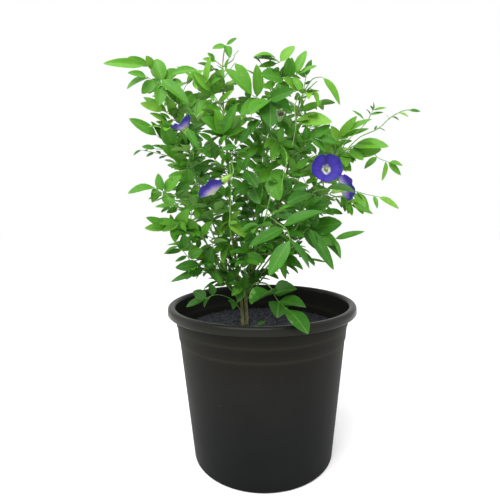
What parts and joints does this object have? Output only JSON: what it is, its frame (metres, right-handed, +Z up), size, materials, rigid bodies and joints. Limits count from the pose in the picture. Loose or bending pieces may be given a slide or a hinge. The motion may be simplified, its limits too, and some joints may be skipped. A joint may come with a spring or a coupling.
{
  "type": "potted butterfly pea",
  "caption": "Young climbing butterfly pea bush with pinnate leaves and violet flowers, standing in potting mix in a round tapered black nursery pot.",
  "frame": {"origin": "centre of the pot's flat base, on the surface that it stands on", "axes": "+Z up along the pot's axis, -Y towards the side seen from the front, +X to the right"},
  "size_m": [0.3777, 0.3047, 0.5541],
  "materials": {
    "pot_plastic": "moulded black recycled polypropylene, satin, slightly scuffed",
    "potting_mix": "dark moist peat and bark mix, crumbly",
    "stem": "woody brownish green stem bark, matt",
    "vine": "soft green vine, matt with fine hairs",
    "leaf": "thin green leaf, satin above and paler matt below",
    "banner_petal": "violet blue petal with a pale eye, velvety",
    "keel_petal": "pale cream and violet petal, velvety",
    "calyx": "light green calyx, matt"
  },
  "bodies": {
    "root": {"flower_front_banner": "banner_petal", "flower_front_calyx": "calyx", "flower_front_keel": "keel_petal", "flower_left_banner": "banner_petal", "flower_left_calyx": "calyx", "flower_left_keel": "keel_petal", "flower_lower_left_banner": "banner_petal", "flower_lower_left_calyx": "calyx", "flower_lower_left_keel": "keel_petal", "flower_right_banner": "banner_petal", "flower_right_calyx": "calyx", "flower_right_keel": "keel_petal", "leaf_back_left": "leaf", "leaf_back_left_top": "leaf", "leaf_back_right": "leaf", "leaf_back_top": "leaf", "leaf_far_left": "leaf", "leaf_front": "leaf", "leaf_hanging": "leaf", "leaf_left_drooping": "leaf", "leaf_left_high": "leaf", "leaf_left_lance": "leaf", "leaf_left_tip": "leaf", "leaf_left_upright": "leaf", "leaf_lone_hanging": "leaf", "leaf_low_left": "leaf", "leaf_low_left_under": "leaf", "leaf_lower_left": "leaf", "leaf_lower_right": "leaf", "leaf_over_rim": "leaf", "leaf_over_soil": "leaf", "leaf_right_big": "leaf", "leaf_right_front": "leaf", "leaf_right_low": "leaf", "leaf_right_reach": "leaf", "leaf_right_star": "leaf", "leaf_top_arch": "leaf", "leaf_top_middle": "leaf", "leaf_top_middle_front": "leaf", "leaf_top_middle_left": "leaf", "leaf_top_upright": "leaf", "leaf_upper_right": "leaf", "pot": "pot_plastic", "potting_mix": "potting_mix", "stem_left": "stem", "stem_right": "stem", "twig_right": "vine", "vine_back": "vine", "vine_back_left": "vine", "vine_back_right": "vine", "vine_front": "vine", "vine_front_middle": "vine", "vine_left": "vine", "vine_low_left": "vine", "vine_lower_left": "vine", "vine_lower_right": "vine", "vine_right": "vine", "vine_right_low": "vine", "vine_top_middle": "vine", "vine_upper_left": "vine"}
  },
  "joints": []
}
